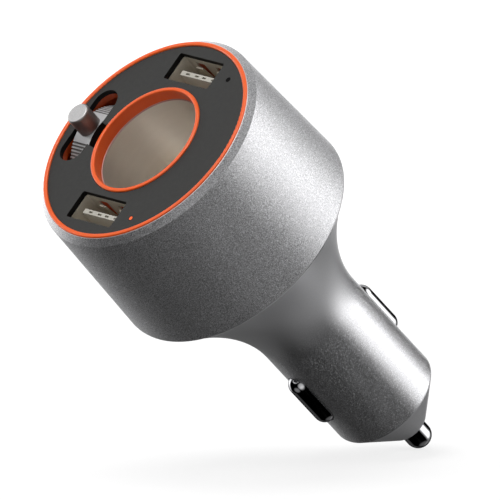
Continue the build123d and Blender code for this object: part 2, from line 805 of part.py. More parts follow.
with BuildPart() as led_chips:
    with BuildSketch(Plane.XY.offset(z_board)):
        with Locations(*light_places):
            Rectangle(led_size, led_size)
    extrude(amount=led_height)
save(led_chips, "led_chips")

# Head board: ring-shaped circuit board around the sleeve, screwed to the chassis posts
with BuildPart() as head_board:
    with BuildSketch(Plane.XY.offset(z_board_under)):
        Circle(board_radius)
        Circle(board_hole_radius, mode=Mode.SUBTRACT)
        with Locations(*post_places):
            Circle(screw_radius + slide_gap, mode=Mode.SUBTRACT)
        for _, side in sides:
            tail_x = side * port_offset + tongue_face + pin_thickness / 2
            with Locations(*[(tail_x, y) for y in pin_places]):
                Rectangle(pin_thickness + 2 * slide_gap, pin_width + 2 * slide_gap, mode=Mode.SUBTRACT)
    extrude(amount=board_thickness)
save(head_board, "head_board")

with BuildPart() as board_screws:
    with BuildSketch(Plane.XY.offset(z_board_under)):
        with Locations(*post_places):
            Circle(screw_head_radius)
    extrude(amount=-screw_head_height)
    with BuildSketch(Plane.XY.offset(z_board_under)):
        with Locations(*post_places):
            Circle(screw_radius)
    extrude(amount=board_thickness + screw_length - fit_gap)
save(board_screws, "board_screws")

# Parts on the board: two capacitors and the lever's sensor on top, inductor and chip underneath
with BuildPart() as capacitors:
    with BuildSketch(Plane.XY.offset(z_board)):
        for angle in capacitor_angles:
            with PolarLocations(post_circle_radius, 1, angle):
                Circle(capacitor_radius)
    extrude(amount=capacitor_height)
save(capacitors, "capacitors")

with BuildPart() as position_sensor:
    with BuildSketch(Plane.XY.offset(z_board)):
        with Locations((0, lever_offset)):
            Rectangle(sensor_size[0], sensor_size[1])
    extrude(amount=sensor_size[2])
save(position_sensor, "position_sensor")

with BuildPart() as inductor:
    with BuildSketch(Plane.XY.offset(z_board_under)):
        with PolarLocations(post_circle_radius, 1, inductor_angle):
            Rectangle(inductor_size[0], inductor_size[1])
    extrude(amount=-inductor_size[2])
save(inductor, "inductor")

with BuildPart() as converter_chip:
    with BuildSketch(Plane.XY.offset(z_board_under)):
        with PolarLocations(post_circle_radius, 1, chip_angle):
            Rectangle(chip_size[0], chip_size[1])
    extrude(amount=-chip_size[2])
save(converter_chip, "converter_chip")

# Ground pin: from the plug body's spigot up to the board
with BuildPart() as ground_pin:
    ground_radius = (spigot_radius + spigot_bore) / 2
    with BuildSketch(Plane.XY.offset(z_head + spigot_height)):
        with PolarLocations(ground_radius, 1, ground_pin_angle):
            Circle(ground_pin_radius)
    extrude(amount=z_board_under - z_head - spigot_height)
save(ground_pin, "ground_pin")
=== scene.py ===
"""Car charger plug, dressed: blasted metal head and barrel, orange trim, lever, ports and lighter socket.

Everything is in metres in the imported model's frame: +Z from the tip to the face, the origin on the axis at
the barrel's leading end. Lengths below are in millimetres and are scaled when a mesh is made.
"""
import math

import bmesh
import bpy
import numpy as np
from mathutils import Matrix, Vector


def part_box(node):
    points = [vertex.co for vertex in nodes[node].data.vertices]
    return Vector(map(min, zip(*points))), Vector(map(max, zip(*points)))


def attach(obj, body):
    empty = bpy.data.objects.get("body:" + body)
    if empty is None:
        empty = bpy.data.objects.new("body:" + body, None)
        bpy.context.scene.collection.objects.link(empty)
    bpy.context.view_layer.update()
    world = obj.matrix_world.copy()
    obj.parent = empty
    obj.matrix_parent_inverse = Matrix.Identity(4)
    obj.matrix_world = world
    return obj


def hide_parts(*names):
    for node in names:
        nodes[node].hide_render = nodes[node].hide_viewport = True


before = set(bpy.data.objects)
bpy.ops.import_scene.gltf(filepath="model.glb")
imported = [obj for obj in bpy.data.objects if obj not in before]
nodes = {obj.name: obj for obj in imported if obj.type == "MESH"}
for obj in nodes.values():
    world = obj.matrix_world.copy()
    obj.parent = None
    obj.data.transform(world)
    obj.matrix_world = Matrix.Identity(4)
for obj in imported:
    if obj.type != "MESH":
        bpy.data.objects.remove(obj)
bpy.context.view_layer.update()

MM = 0.001

# Sizes of the pieces that are drawn again here, and of the spots in the light pipes, in millimetres
BARREL_R, BARREL_BORE, BARREL_LAND, BARREL_DRAFT = 10.3, 8.8, 5.4, 0.03
NECK_Z, NECK_PULL, NECK_TOP_R, THROAT_Z = 23.2, 11.0, 23.4, 25.2
SPIGOT_R, SPIGOT_BORE, SPIGOT_Z = 20.85, 19.2, 52.7
HEAD_Z, HEAD_FOOT_R, HEAD_BORE = 47.7, 23.482, 20.9
CHAMFER_Z, CHAMFER_R, FACE_Z, LIP_R = 74.2, 22.55, 75.4, 21.5
RING_SEAT_Z, RING_SEAT_R = 74.0, 21.4
SLIDE_GAP = 0.1
CONTACT_Z, CONTACT_HALF_WIDTH, CONTACT_ARM = 12.5, 2.1, 3.9
CONTACT_CREST, CONTACT_ROUND, CONTACT_ROOT = 11.9, 2.0, 0.3
FLANGE_FACE, FLANGE_BACK, FLANGE_HALF_WIDTH, FLANGE_HALF_LENGTH, FLANGE_ROUND = 8.1, 7.1, 2.9, 6.8, 0.3
NOSE_END_Z, NOSE_END_R, NOSE_EDGE_Z = -8.718, 3.54, -0.219
NOSE_SPIGOT_R, NOSE_SPIGOT_Z, NOSE_BORE = 8.75, 2.3, 7.0
TIP_R, TIP_REACH, TIP_SEAT_Z, TIP_CHAMBER_R, TIP_CHAMBER_Z = 2.43, 5.43, -6.518, 3.9, -1.518
TIP_COLLAR_R, TIP_COLLAR_Z, TIP_SHAFT_Z = 3.6, -5.218, -9.5
DOME_Z = NOSE_END_Z - TIP_REACH + TIP_R
SLEEVE_R, SLEEVE_BORE, SLEEVE_FOOT_Z, SLEEVE_FLOOR_Z, SLEEVE_HOLE_R = 11.3, 10.5, 49.4, 50.2, 5.0
SLEEVE_FLANGE_R, SLEEVE_FLANGE_Z, SLEEVE_FLANGE_TOP, WEB_Z = 12.1, 59.9, 60.7, 73.2
LEVER_Y, DRUM_Z, DRUM_R = 15.9, 66.7, 8.5
KNOB_R, KNOB_TOP, KNOB_ROUND, STEM_R, STEM_LENGTH, STEM_CHAMFER = 2.15, 79.06, 0.35, 1.3, 3.2, 0.2
LENS_SPOT, LENS_FADE = 0.32, 0.08

# The photograph's view: azimuth and elevation of the camera, lean of +Z to the left, frame width, centre
VIEW_AZ, VIEW_EL, VIEW_LEAN = math.radians(-20.3), math.radians(35.69), math.radians(42.8)
VIEW_WIDTH, VIEW_CENTRE_Z, VIEW_SIDE = 87.82, 42.70, 0.366
VIEW_DISTANCE = 4.0  # metres


# Meshes

def rounded(corners, radii, steps=7):
    """Closed outline with rounded corners. Each corner gives way to an arc that touches both of its edges,
    with its centre on the bisector at radius / sin(half angle), and to a guard point on each edge beside
    the arc, which keeps the shading of the flats flat."""
    corner = np.asarray(corners, float)
    radius = np.broadcast_to(np.asarray(radii, float), len(corner))[:, None]
    back, ahead = np.roll(corner, 1, 0) - corner, np.roll(corner, -1, 0) - corner
    back_length = np.linalg.norm(back, axis=1, keepdims=True)
    ahead_length = np.linalg.norm(ahead, axis=1, keepdims=True)
    back, ahead = back / back_length, ahead / ahead_length
    half = 0.5 * np.arccos(np.clip((back * ahead).sum(1, keepdims=True), -1, 1))
    reach = radius / np.tan(half)
    bisector = (back + ahead) / np.linalg.norm(back + ahead, axis=1, keepdims=True)
    centre = corner + bisector * radius / np.sin(half)
    first, last = corner + back * reach, corner + ahead * reach
    sweep = (np.pi - 2 * half)[:, None]
    t = np.linspace(0, 1, steps)[None, :, None]
    turn = np.sin((1 - t) * sweep) * (first - centre)[:, None] + np.sin(t * sweep) * (last - centre)[:, None]
    arcs = centre[:, None] + turn / np.sin(sweep)
    guard_back = np.minimum(0.5 * radius, 0.3 * (back_length - reach - np.roll(reach, 1, 0)))
    guard_ahead = np.minimum(0.5 * radius, 0.3 * (ahead_length - reach - np.roll(reach, -1, 0)))
    guards = [(first + back * guard_back)[:, None], arcs, (last + ahead * guard_ahead)[:, None]]
    return np.concatenate(guards, 1).reshape(-1, 2)


def grid_quads(rows, columns, wrap_rows=True, wrap_columns=True):
    """Four-sided faces of a grid whose points are numbered row by row, closed on itself where it wraps."""
    i = np.arange(rows if wrap_rows else rows - 1)[:, None]
    j = np.arange(columns if wrap_columns else columns - 1)[None, :]
    down, along = (i + 1) % rows, (j + 1) % columns
    quads = [i * columns + j, down * columns + j, down * columns + along, i * columns + along]
    return np.stack(np.broadcast_arrays(*quads), -1).reshape(-1, 4)


def around(radius, height, axis=(0.0, 0.0)):
    """Points round a vertical axis, at axis + (radius cos a, radius sin a) and at the height: the radius and
    the height have a row for each turn, and the angle a goes once round over the rows."""
    turns = len(radius)
    angle = np.arange(turns)[:, None] * (2 * np.pi / turns)
    spot = [axis[0] + np.cos(angle) * radius, axis[1] + np.sin(angle) * radius, height]
    return np.stack(spot, -1).reshape(-1, 3)


def every_turn(values, turns):
    """The same row of values for each turn."""
    return np.broadcast_to(np.asarray(values, float), (turns, len(values)))


def turned(outline, turns=240):
    """Ring-shaped solid: a closed outline of radius and height, anticlockwise, carried round the Z axis."""
    radius, height = (every_turn(values, turns) for values in np.transpose(outline))
    return around(radius, height), [grid_quads(*radius.shape)]


def capped(radius, height, axis=(0.0, 0.0)):
    """Solid of revolution with a closed foot and top: radius and height are given for each turn and row,
    and each end row is closed by a fan to a point on the axis at that row's mean height."""
    turns, rows = radius.shape
    poles = [[*axis, height[:, 0].mean()], [*axis, height[:, -1].mean()]]
    here, ahead = np.arange(turns) * rows, (np.arange(turns) + 1) % turns * rows
    foot = np.stack([ahead, here, np.full(turns, turns * rows)], 1)
    top = np.stack([here + rows - 1, ahead + rows - 1, np.full(turns, turns * rows + 1)], 1)
    points = np.concatenate([around(radius, height, axis), poles])
    return points, [grid_quads(turns, rows, True, False), foot, top]


def obround(half_width, arm, steps=48):
    """Outline of two half circles of one radius, twice the arm apart, joined by straight sides."""
    angle = np.concatenate([np.linspace(0, np.pi, steps + 1), np.linspace(np.pi, 2 * np.pi, steps + 1)])
    shift = np.repeat([arm, -arm], steps + 1)
    return np.stack([half_width * np.cos(angle), half_width * np.sin(angle) + shift], 1)


def stacked(rings):
    """Closed solid from rings of equal length, one above another, with a flat face at each end."""
    layers, count = len(rings), len(rings[0])
    foot = np.arange(count)[None, :]
    top = foot[:, ::-1] + (layers - 1) * count
    return np.concatenate(rings), [grid_quads(layers, count, False, True), foot, top]


def strip(outer, inner):
    """Four-sided faces between two rings of as many point numbers."""
    return np.stack([outer, np.roll(outer, -1), np.roll(inner, -1), inner], 1)


def piece(name, shells, body, replaced, coat, crease=33):
    """One mesh object from closed shells, each a list of points in millimetres and lists of faces. Faces
    are turned outwards, shaded smooth and kept sharp where they meet at more than the crease angle."""
    points, corners, totals, base = [], [], [], 0
    for shell_points, shell_faces in shells:
        points.append(shell_points)
        corners += [(faces + base).ravel() for faces in shell_faces]
        totals += [np.full(len(faces), faces.shape[1]) for faces in shell_faces]
        base += len(shell_points)
    points, corners, totals = np.concatenate(points) * MM, np.concatenate(corners), np.concatenate(totals)
    mesh = bpy.data.meshes.new(name)
    mesh.vertices.add(len(points))
    mesh.vertices.foreach_set("co", points.astype(np.float32).ravel())
    mesh.loops.add(len(corners))
    mesh.loops.foreach_set("vertex_index", corners.astype(np.int32))
    mesh.polygons.add(len(totals))
    mesh.polygons.foreach_set("loop_start", np.concatenate([[0], np.cumsum(totals)[:-1]]).astype(np.int32))
    mesh.update(calc_edges=True)
    mesh.validate()
    outward = bmesh.new()
    outward.from_mesh(mesh)
    bmesh.ops.recalc_face_normals(outward, faces=outward.faces)
    outward.to_mesh(mesh)
    outward.free()
    mesh.polygons.foreach_set("use_smooth", np.ones(len(mesh.polygons), bool))
    mesh.set_sharp_from_angle(angle=math.radians(crease))
    mesh.materials.append(coat)
    made = bpy.data.objects.new(name, mesh)
    bpy.context.scene.collection.objects.link(made)
    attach(made, body)
    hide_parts(*replaced)


def barrel_radius(height):
    """Barrel's radius: constant on the land at its leading end, then growing evenly up to the neck."""
    return BARREL_R + BARREL_DRAFT * np.clip((height - BARREL_LAND) / (NECK_Z - BARREL_LAND), 0, 1)


def bezier(start, pull, end, count):
    """Points of the curve (1-t)^2 start + 2 t (1-t) pull + t^2 end, without its first point."""
    t = np.linspace(0, 1, count + 1)[1:, None]
    return (1 - t) ** 2 * np.array(start) + 2 * t * (1 - t) * np.array(pull) + t ** 2 * np.array(end)


def plug_shell():
    """Barrel and neck with a slot for each side contact. An outline of radius and height is carried round
    the axis; in a window around each slot, on the outer wall and on the bore, the grid is left out and a
    patch of rings runs from the window's edge to the slot's outline, point for point along lines from the
    slot's centre. The two slot outlines are joined by the slot's wall."""
    turns, half_window, window_rows, window_half_length, guard = 240, 12, 30, 7.5, 0.02
    window_z = CONTACT_Z + np.linspace(-window_half_length, window_half_length, window_rows + 1)
    land = np.array([guard, 3 * guard, 10 * guard, 2.5])
    above = np.linspace(CONTACT_Z + window_half_length, NECK_Z, 6)[1:]
    outer_z = np.concatenate([land, window_z, above])
    neck_r = BARREL_R + BARREL_DRAFT
    neck = bezier((neck_r, NECK_Z), (neck_r, NECK_Z + NECK_PULL), (NECK_TOP_R, HEAD_Z), 40)
    neck[-1, 1] -= 0.05
    lip = [(NECK_TOP_R - guard, HEAD_Z), (NECK_TOP_R - 10 * guard, HEAD_Z), (SPIGOT_R, HEAD_Z),
           (SPIGOT_R, SPIGOT_Z), (SPIGOT_BORE, SPIGOT_Z), (SPIGOT_BORE, HEAD_Z)]
    throat = bezier((SPIGOT_BORE, HEAD_Z), (BARREL_BORE, THROAT_Z + NECK_PULL), (BARREL_BORE, THROAT_Z), 24)
    bore_z = np.concatenate([[22.5], window_z[::-1], [2.0, guard]])
    outline = np.concatenate([
        np.stack([barrel_radius(outer_z), outer_z], 1), neck, lip, throat,
        np.stack([np.full(len(bore_z), BARREL_BORE), bore_z], 1),
        [(BARREL_BORE + guard, 0.0), (BARREL_R - guard, 0.0)],
    ])
    points, (quads,) = turned(outline, turns)
    rows = len(outline)
    outer_row = len(land)
    bore_row = len(outer_z) + len(neck) + len(lip) + len(throat) + 1
    column, row = np.divmod(np.arange(len(quads)), rows)
    beside = np.abs((column + half_window) % (turns // 2) - half_window + 0.5)
    in_outer = (row >= outer_row) & (row < outer_row + window_rows)
    in_bore = (row >= bore_row) & (row < bore_row + window_rows)
    faces = [quads[~((beside < half_window) & (in_outer | in_bore))]]

    # window's edge as grid places: along the foot, up one side, back along the top, down the other side
    side_columns, side_rows = np.arange(-half_window, half_window), np.arange(window_rows)
    edge_column = np.concatenate([
        side_columns, np.full(window_rows, half_window), -side_columns, np.full(window_rows, -half_window)])
    edge_row = np.concatenate([
        np.zeros(2 * half_window, int), side_rows,
        np.full(2 * half_window, window_rows), window_rows - side_rows])
    count = len(edge_column)
    slot_r, ring_shares = CONTACT_HALF_WIDTH + SLIDE_GAP, (0.4, 0.75, 0.96, 1.0)
    all_points, total = [points], len(points)
    for middle, side in ((0, 1), (turns // 2, -1)):
        slot_rings = []
        for first_row, rising, wall in ((outer_row, True, None), (bore_row, False, BARREL_BORE)):
            grid_row = first_row + (edge_row if rising else window_rows - edge_row)
            edge = (middle + edge_column) % turns * rows + grid_row
            spread, lift = points[edge, 1], points[edge, 2] - CONTACT_Z
            length = np.hypot(spread, lift)
            across, along = np.abs(spread) / length, np.abs(lift) / length
            straight = slot_r / np.maximum(across, 1e-9)
            curved = CONTACT_ARM * along + np.sqrt(np.maximum(slot_r ** 2 - (CONTACT_ARM * across) ** 2, 0))
            reach = np.where(straight * along <= CONTACT_ARM, straight, curved)
            rings = [edge]
            for share in ring_shares:
                scale = 1 + share * (reach / length - 1)
                y, z = spread * scale, CONTACT_Z + lift * scale
                r = barrel_radius(z) if wall is None else wall
                all_points.append(np.stack([side * np.sqrt(r ** 2 - y ** 2), y, z], 1))
                rings.append(total + np.arange(count))
                total += count
            slot_rings.append(rings[-1])
            faces += [strip(outer, inner) for outer, inner in zip(rings[:-1], rings[1:])]
        faces.append(strip(*slot_rings))
    return np.concatenate(all_points), faces


def contact_bar(side):
    """Half-round side contact: an obround whose half width shrinks along a quarter circle up to the crest,
    on a flange that stays inside the barrel."""
    def upright(outline, out):
        return np.stack([np.full(len(outline), side * out), outline[:, 0], CONTACT_Z + outline[:, 1]], 1)

    beta = np.linspace(0, np.pi / 2, 15)
    inset = np.concatenate([[0, 0], CONTACT_ROUND * (1 - np.cos(beta))])
    root = [FLANGE_FACE - CONTACT_ROOT, FLANGE_FACE + 0.5]
    height = np.concatenate([root, CONTACT_CREST - CONTACT_ROUND + CONTACT_ROUND * np.sin(beta)])
    bar = [upright(obround(CONTACT_HALF_WIDTH - shrink, CONTACT_ARM), out)
           for shrink, out in zip(inset, height)]
    wide, long = FLANGE_HALF_WIDTH, FLANGE_HALF_LENGTH
    flange = rounded([(-wide, -long), (wide, -long), (wide, long), (-wide, long)], FLANGE_ROUND)
    plate = [upright(flange, out) for out in (FLANGE_BACK, FLANGE_FACE)]
    return [stacked(bar), stacked(plate)]


def tip_shell():
    """Tip: a rounded end, a quarter circle of the tip's radius, then a straight shaft, which has one more row
    outside the nose, and a collar with broken edges that rests on the seat inside the nose."""
    turns, first_angle = 144, math.radians(4)
    dome = np.linspace(first_angle, math.pi / 2, 24)
    collar_r = [TIP_COLLAR_R - 0.05, TIP_COLLAR_R, TIP_COLLAR_R, TIP_COLLAR_R - 0.1, 0.4]
    collar_z = [TIP_SEAT_Z, TIP_SEAT_Z + 0.048, TIP_COLLAR_Z - 0.042, TIP_COLLAR_Z, TIP_COLLAR_Z]
    radius = [*(TIP_R * np.sin(dome)), TIP_R, TIP_R, *collar_r]
    height = [*(DOME_Z - TIP_R * np.cos(dome)), TIP_SHAFT_Z, TIP_SEAT_Z, *collar_z]
    return capped(every_turn(radius, turns), every_turn(height, turns))


def knob_shell():
    """Knob: a cylinder with a rounded top edge. Its foot is cut by the drum, so the foot's height at a
    distance x across the drum's axis is drum height + sqrt(drum radius^2 - x^2), and a stem goes on down."""
    turns = 96
    angle = np.arange(turns)[:, None] * (2 * np.pi / turns)
    beta = np.linspace(0, np.pi / 2, 9)
    edge_r = KNOB_R - KNOB_ROUND + KNOB_ROUND * np.cos(beta)
    edge_z = KNOB_TOP - KNOB_ROUND + KNOB_ROUND * np.sin(beta)
    saddle = np.array([STEM_R, KNOB_R - 0.05, KNOB_R])
    seat = DRUM_Z + np.sqrt(DRUM_R ** 2 - (np.cos(angle) * saddle) ** 2) + np.array([0, 0, 0.03])
    stem_z = DRUM_Z + DRUM_R - STEM_LENGTH
    stem = every_turn([stem_z, stem_z + STEM_CHAMFER], turns)
    top = every_turn([*edge_z, KNOB_TOP, KNOB_TOP], turns)
    height = np.concatenate([stem, seat, top], 1)
    radius = [STEM_R - STEM_CHAMFER, STEM_R, *saddle, *edge_r, KNOB_R - KNOB_ROUND - 0.1, 0.3]
    return capped(every_turn(radius, turns), height, (0.0, LEVER_Y))


# Finishes

FINE_GRAIN = 5600  # scale of the noise behind the finest grain
SPECK_MEAN, SPECK_FADED = 0.35, 0.12  # mean level of the specks, and the share left where they die out
# the darker inside of a moulding is painted shade
PAINTED_SHADE_EDGE = 0.5  # width of the change to a moulding's darker inside, in mm


def paint(red, green, blue):
    """Linear colour from display values of 0 to 255."""
    shown = np.array([red, green, blue]) / 255
    linear = np.where(shown <= 0.04045, shown / 12.92, ((shown + 0.055) / 1.055) ** 2.4)
    return (*linear.tolist(), 1.0)


class Graph:
    """A node tree being put together. Where a value is asked for, another node's output does as well."""

    def __init__(self, tree):
        self.tree = tree

    def add(self, kind, **settings):
        node = self.tree.nodes.new(kind)
        for key, value in settings.items():
            setattr(node, key, value)
        return node

    def link(self, source, socket):
        self.tree.links.new(source, socket)

    def fill(self, socket, value):
        if isinstance(value, bpy.types.NodeSocket):
            self.link(value, socket)
        else:
            socket.default_value = value

    def range(self, source, low, high, to_low, to_high, smooth=False):
        """Value that goes from one level to another while the source goes from low to high."""
        node = self.add("ShaderNodeMapRange", interpolation_type="SMOOTHSTEP" if smooth else "LINEAR")
        values = (source, low, high, to_low, to_high)
        for socket, value in zip(("Value", "From Min", "From Max", "To Min", "To Max"), values):
            self.fill(node.inputs[socket], value)
        return node.outputs["Result"]

    def mask(self, source, low, high):
        """Share that grows from 0 to 1 while the source goes from low to high."""
        return self.range(source, low, high, 0.0, 1.0)

    def maths(self, operation, first, second=0.0):
        node = self.add("ShaderNodeMath", operation=operation)
        self.fill(node.inputs[0], first)
        self.fill(node.inputs[1], second)
        return node.outputs["Value"]

    def vectors(self, operation, first, second):
        node = self.add("ShaderNodeVectorMath", operation=operation)
        self.fill(node.inputs[0], first)
        self.fill(node.inputs[1], second)
        return node.outputs

    def mix(self, share, first, second):
        """Shader between two shaders."""
        node = self.add("ShaderNodeMixShader")
        for socket, source in zip(node.inputs, (share, first, second)):
            self.link(source, socket)
        return node.outputs["Shader"]


class Finish(Graph):
    """A material being put together around its main shader."""

    def __init__(self, name, metal=0.0, rough=0.5):
        self.material = bpy.data.materials.new(name)
        self.material.use_nodes = True
        super().__init__(self.material.node_tree)
        self.shader = self.tree.nodes["Principled BSDF"]
        self.set("Metallic", metal)
        self.set("Roughness", rough)
        coordinates = self.add("ShaderNodeTexCoord")
        self.place, self.normal = coordinates.outputs["Object"], coordinates.outputs["Normal"]

    def set(self, socket, value):
        self.fill(self.shader.inputs[socket], value)

    def stretch(self, scale):
        """Object coordinates with a different scale along each axis."""
        node = self.add("ShaderNodeMapping")
        node.inputs["Scale"].default_value = scale
        self.link(self.place, node.inputs["Vector"])
        return node.outputs["Vector"]

    def noise(self, scale, detail=2.0, rough=0.5, place=None):
        node = self.add("ShaderNodeTexNoise")
        node.inputs["Scale"].default_value = scale
        node.inputs["Detail"].default_value = detail
        node.inputs["Roughness"].default_value = rough
        self.link(place or self.place, node.inputs["Vector"])
        return node.outputs["Fac"]

    def grain(self):
        """The finest grain that blasted and satin metal have here."""
        return self.noise(FINE_GRAIN, 1.0)

    def spread(self, noise, low, high):
        """Noise brought to two levels: nearly all of it lies between 0.3 and 0.7."""
        return self.range(noise, 0.3, 0.7, low, high)

    def blend(self, share, first, second):
        """Colour between two colours."""
        node = self.add("ShaderNodeMix", data_type="RGBA")
        self.link(share, node.inputs["Factor"])
        self.fill(node.inputs[6], first)
        self.fill(node.inputs[7], second)
        return node.outputs[2]

    def height(self):
        node = self.add("ShaderNodeSeparateXYZ")
        self.link(self.place, node.inputs["Vector"])
        return node.outputs["Z"]

    def facing(self, axis="Z"):
        """Share of the surface's own normal along an axis of the object."""
        node = self.add("ShaderNodeSeparateXYZ")
        self.link(self.normal, node.inputs["Vector"])
        return node.outputs[axis]

    def off_axis(self, keep, centre):
        """Distance in metres from an axis through a centre: keep is 1 for the two directions across it."""
        across = self.vectors("MULTIPLY", self.place, keep)["Vector"]
        return self.vectors("DISTANCE", across, [k * c for k, c in zip(keep, centre)])["Value"]

    def moulded(self, rough, scale, depth):
        """Fine spark-eroded texture of a mould, in the gloss and as a relief of a depth in millimetres."""
        texture = self.noise(scale, 3.0, 0.6)
        self.set("Roughness", self.spread(texture, rough - 0.05, rough + 0.05))
        relief = self.add("ShaderNodeBump")
        relief.inputs["Distance"].default_value = depth * MM
        relief.inputs["Strength"].default_value = 0.4
        self.link(texture, relief.inputs["Height"])
        self.set("Normal", relief.outputs["Normal"])


def blasted_metal(name, dull, bright, rough, glint, specks=(0.36, 0.72), fade=None, cut_edges_and_painted_light=False):
    """Bead-blasted aluminium: pin-point specks that are lighter than the ground between them, and more matt
    by the amount of the glint, so that they shine in the shade. The two speck levels of the noise are where
    a speck begins and where it is full. Where fade gives two heights in millimetres, the specks die out
    between them. With cut edges and painted light, the slope that looks up is painted a shade darker as
    painted shade, and the rounds that look right up or down, the lip and the foot, are more glossy and
    painted lighter as a painted highlight."""
    finish = Finish(name, 1.0)
    speck = finish.mask(finish.grain(), *specks)
    if fade:
        share = finish.range(finish.height(), fade[0] * MM, fade[1] * MM, 1.0, SPECK_FADED, True)
        centred = finish.maths("SUBTRACT", speck, SPECK_MEAN)
        speck = finish.maths("ADD", finish.maths("MULTIPLY", centred, share), SPECK_MEAN)
    shade = finish.blend(speck, paint(*dull), paint(*bright))
    gloss = finish.spread(finish.noise(180), rough - 0.06, rough - 0.04)
    gloss = finish.maths("ADD", gloss, finish.maths("MULTIPLY", speck, glint))
    if cut_edges_and_painted_light:
        upward = finish.facing()
        # painted shade: the slope that looks up is blended a shade darker
        shade = finish.blend(finish.range(upward, 0.3, 0.5, 0.0, 0.16), shade, paint(96, 96, 98))
        lip, foot = finish.mask(upward, 0.72, 0.95), finish.range(upward, -0.25, -0.08, 1.0, 0.0)
        cut = finish.maths("ADD", lip, foot)
        # painted highlight: the lip and the foot are painted lighter; the next line makes them more glossy,
        # which is real
        shade = finish.blend(cut, shade, paint(228, 228, 229))
        gloss = finish.maths("MULTIPLY", gloss, finish.range(cut, 0.0, 1.0, 1.0, 0.85))
    finish.set("Base Color", shade)
    finish.set("Roughness", gloss)
    return finish.material


def polished_metal(name, colour, rough, edge=1.0):
    """Plated or polished metal: faint clouding of the colour and a trace of fine scratches along Z. The edge
    is how brightly the metal mirrors where it curves out of sight."""
    finish = Finish(name, 1.0)
    scratches = finish.noise(900, 2.0, 0.6, finish.stretch((1, 1, 0.03)))
    lighter = tuple(min(255, channel + 8) for channel in colour)
    finish.set("Base Color", finish.blend(finish.noise(300, 3.0), paint(*colour), paint(*lighter)))
    finish.set("Roughness", finish.spread(scratches, rough * 0.8, rough * 1.25))
    finish.set("Specular Tint", (edge, edge, edge, 1.0))
    return finish.material


def moulded_plastic(name, colour, rough, scale=900, depth=0.006, shade=0.93, inside=None):
    """Moulded plastic: slight drift of the colour and a fine texture. Where inside gives two distances from
    the Z axis in millimetres and a colour, that colour is painted between them as painted shade on the
    moulding's inside."""
    finish = Finish(name)
    darker = tuple(channel * shade for channel in colour)
    tone = finish.blend(finish.noise(60), paint(*darker), paint(*colour))
    # painted shade: between the two distances from the axis the moulding is painted the darker colour
    if inside:
        near, far, dark = inside
        reach = finish.off_axis((1, 1, 0), (0, 0, 0))
        past_near = finish.mask(reach, near * MM, (near + PAINTED_SHADE_EDGE) * MM)
        before_far = finish.range(reach, (far - PAINTED_SHADE_EDGE) * MM, far * MM, 1.0, 0.0)
        tone = finish.blend(finish.maths("MULTIPLY", past_near, before_far), tone, paint(*dark))
    finish.set("Base Color", tone)
    finish.moulded(rough, scale, depth)
    return finish.material


def face_plastic():
    """Dark grey plate, moulded matt, whose cut edges are painted black as painted shade: the colour follows
    the normal's Z.
    """
    finish = Finish("face_plastic")
    top = finish.blend(finish.noise(60), paint(53, 53, 52), paint(56, 56, 55))
    # painted shade: faces that do not look up, the cut edges, are painted near black
    upward = finish.mask(finish.facing(), 0.6, 0.9)
    finish.set("Base Color", finish.blend(upward, paint(14, 13, 12), top))
    finish.set("Specular IOR Level", 0.2)
    finish.moulded(0.6, 1400, 0.0015)
    return finish.material


def satin_knob():
    """Turned knob: satin metal, painted darker round its side as painted shade, whose top has a fine light
    speckle.
    """
    finish = Finish("satin_knob", 1.0)
    fine = finish.grain()
    top = finish.blend(fine, paint(196, 195, 195), paint(232, 231, 231))
    # painted shade: the side is painted darker than the top
    side = finish.blend(fine, paint(136, 132, 130), paint(158, 154, 152))
    finish.set("Base Color", finish.blend(finish.mask(finish.facing(), 0.90, 0.99), side, top))
    finish.set("Roughness", finish.spread(fine, 0.42, 0.5))
    return finish.material


def ribbed_drum():
    """Lever drum: satin metal on the rim, and in the grooves, which lie closer to the drum's axis than the
    rim does, painted dark as painted shade; black on the two cheeks, whose normal is along Y."""
    finish = Finish("ribbed_drum")
    reach = finish.off_axis((1, 0, 1), (0, 0, DRUM_Z * MM))
    rim = finish.mask(reach, (DRUM_R - 0.06) * MM, (DRUM_R - 0.015) * MM)
    satin = finish.blend(finish.grain(), paint(198, 198, 199), paint(224, 224, 225))
    # painted shade: the grooves, inside the rim's radius, are painted dark grey
    groove_shaded_tread = finish.blend(rim, paint(120, 118, 116), satin)
    cheek = finish.mask(finish.maths("ABSOLUTE", finish.facing("Y")), 0.5, 0.9)
    finish.set("Base Color", finish.blend(cheek, groove_shaded_tread, paint(9, 9, 9)))
    finish.set("Metallic", finish.range(cheek, 0.0, 1.0, 0.45, 0.0))
    finish.set("Roughness", finish.range(cheek, 0.0, 1.0, 0.42, 0.8))
    return finish.material


def socket_lining():
    """Drawn steel of the socket: grey, with a faint grain that runs round it, since the noise is squeezed
    along Z. The rolled lip at its mouth, the last stretch of height, is more matt and painted reddish, a
    painted reflection of the orange collar."""
    finish = Finish("socket_lining", 0.88)
    grain = finish.noise(700, 2.0, 0.6, finish.stretch((0.25, 0.25, 1.0)))
    wall = finish.blend(grain, paint(230, 226, 219), paint(241, 237, 231))
    lip = finish.mask(finish.height(), (WEB_Z - 0.26) * MM, (WEB_Z - 0.16) * MM)
    # painted reflection: the lip is painted reddish for the orange collar it would mirror
    finish.set("Base Color", finish.blend(lip, wall, paint(204, 166, 160)))
    matt = finish.range(lip, 0.0, 1.0, 0.0, 0.3)
    finish.set("Roughness", finish.maths("ADD", finish.spread(grain, 0.34, 0.44), matt))
    return finish.material


def port_steel():
    """Stamped steel of the port shells: matt warm grey with streaks along the draw, which is along Z."""
    finish = Finish("port_steel", 0.15)
    streak = finish.noise(900, 2.0, 0.6, finish.stretch((1.0, 1.0, 0.08)))
    finish.set("Base Color", finish.blend(streak, paint(208, 201, 186), paint(226, 219, 204)))
    finish.set("Roughness", finish.spread(streak, 0.36, 0.46))
    return finish.material


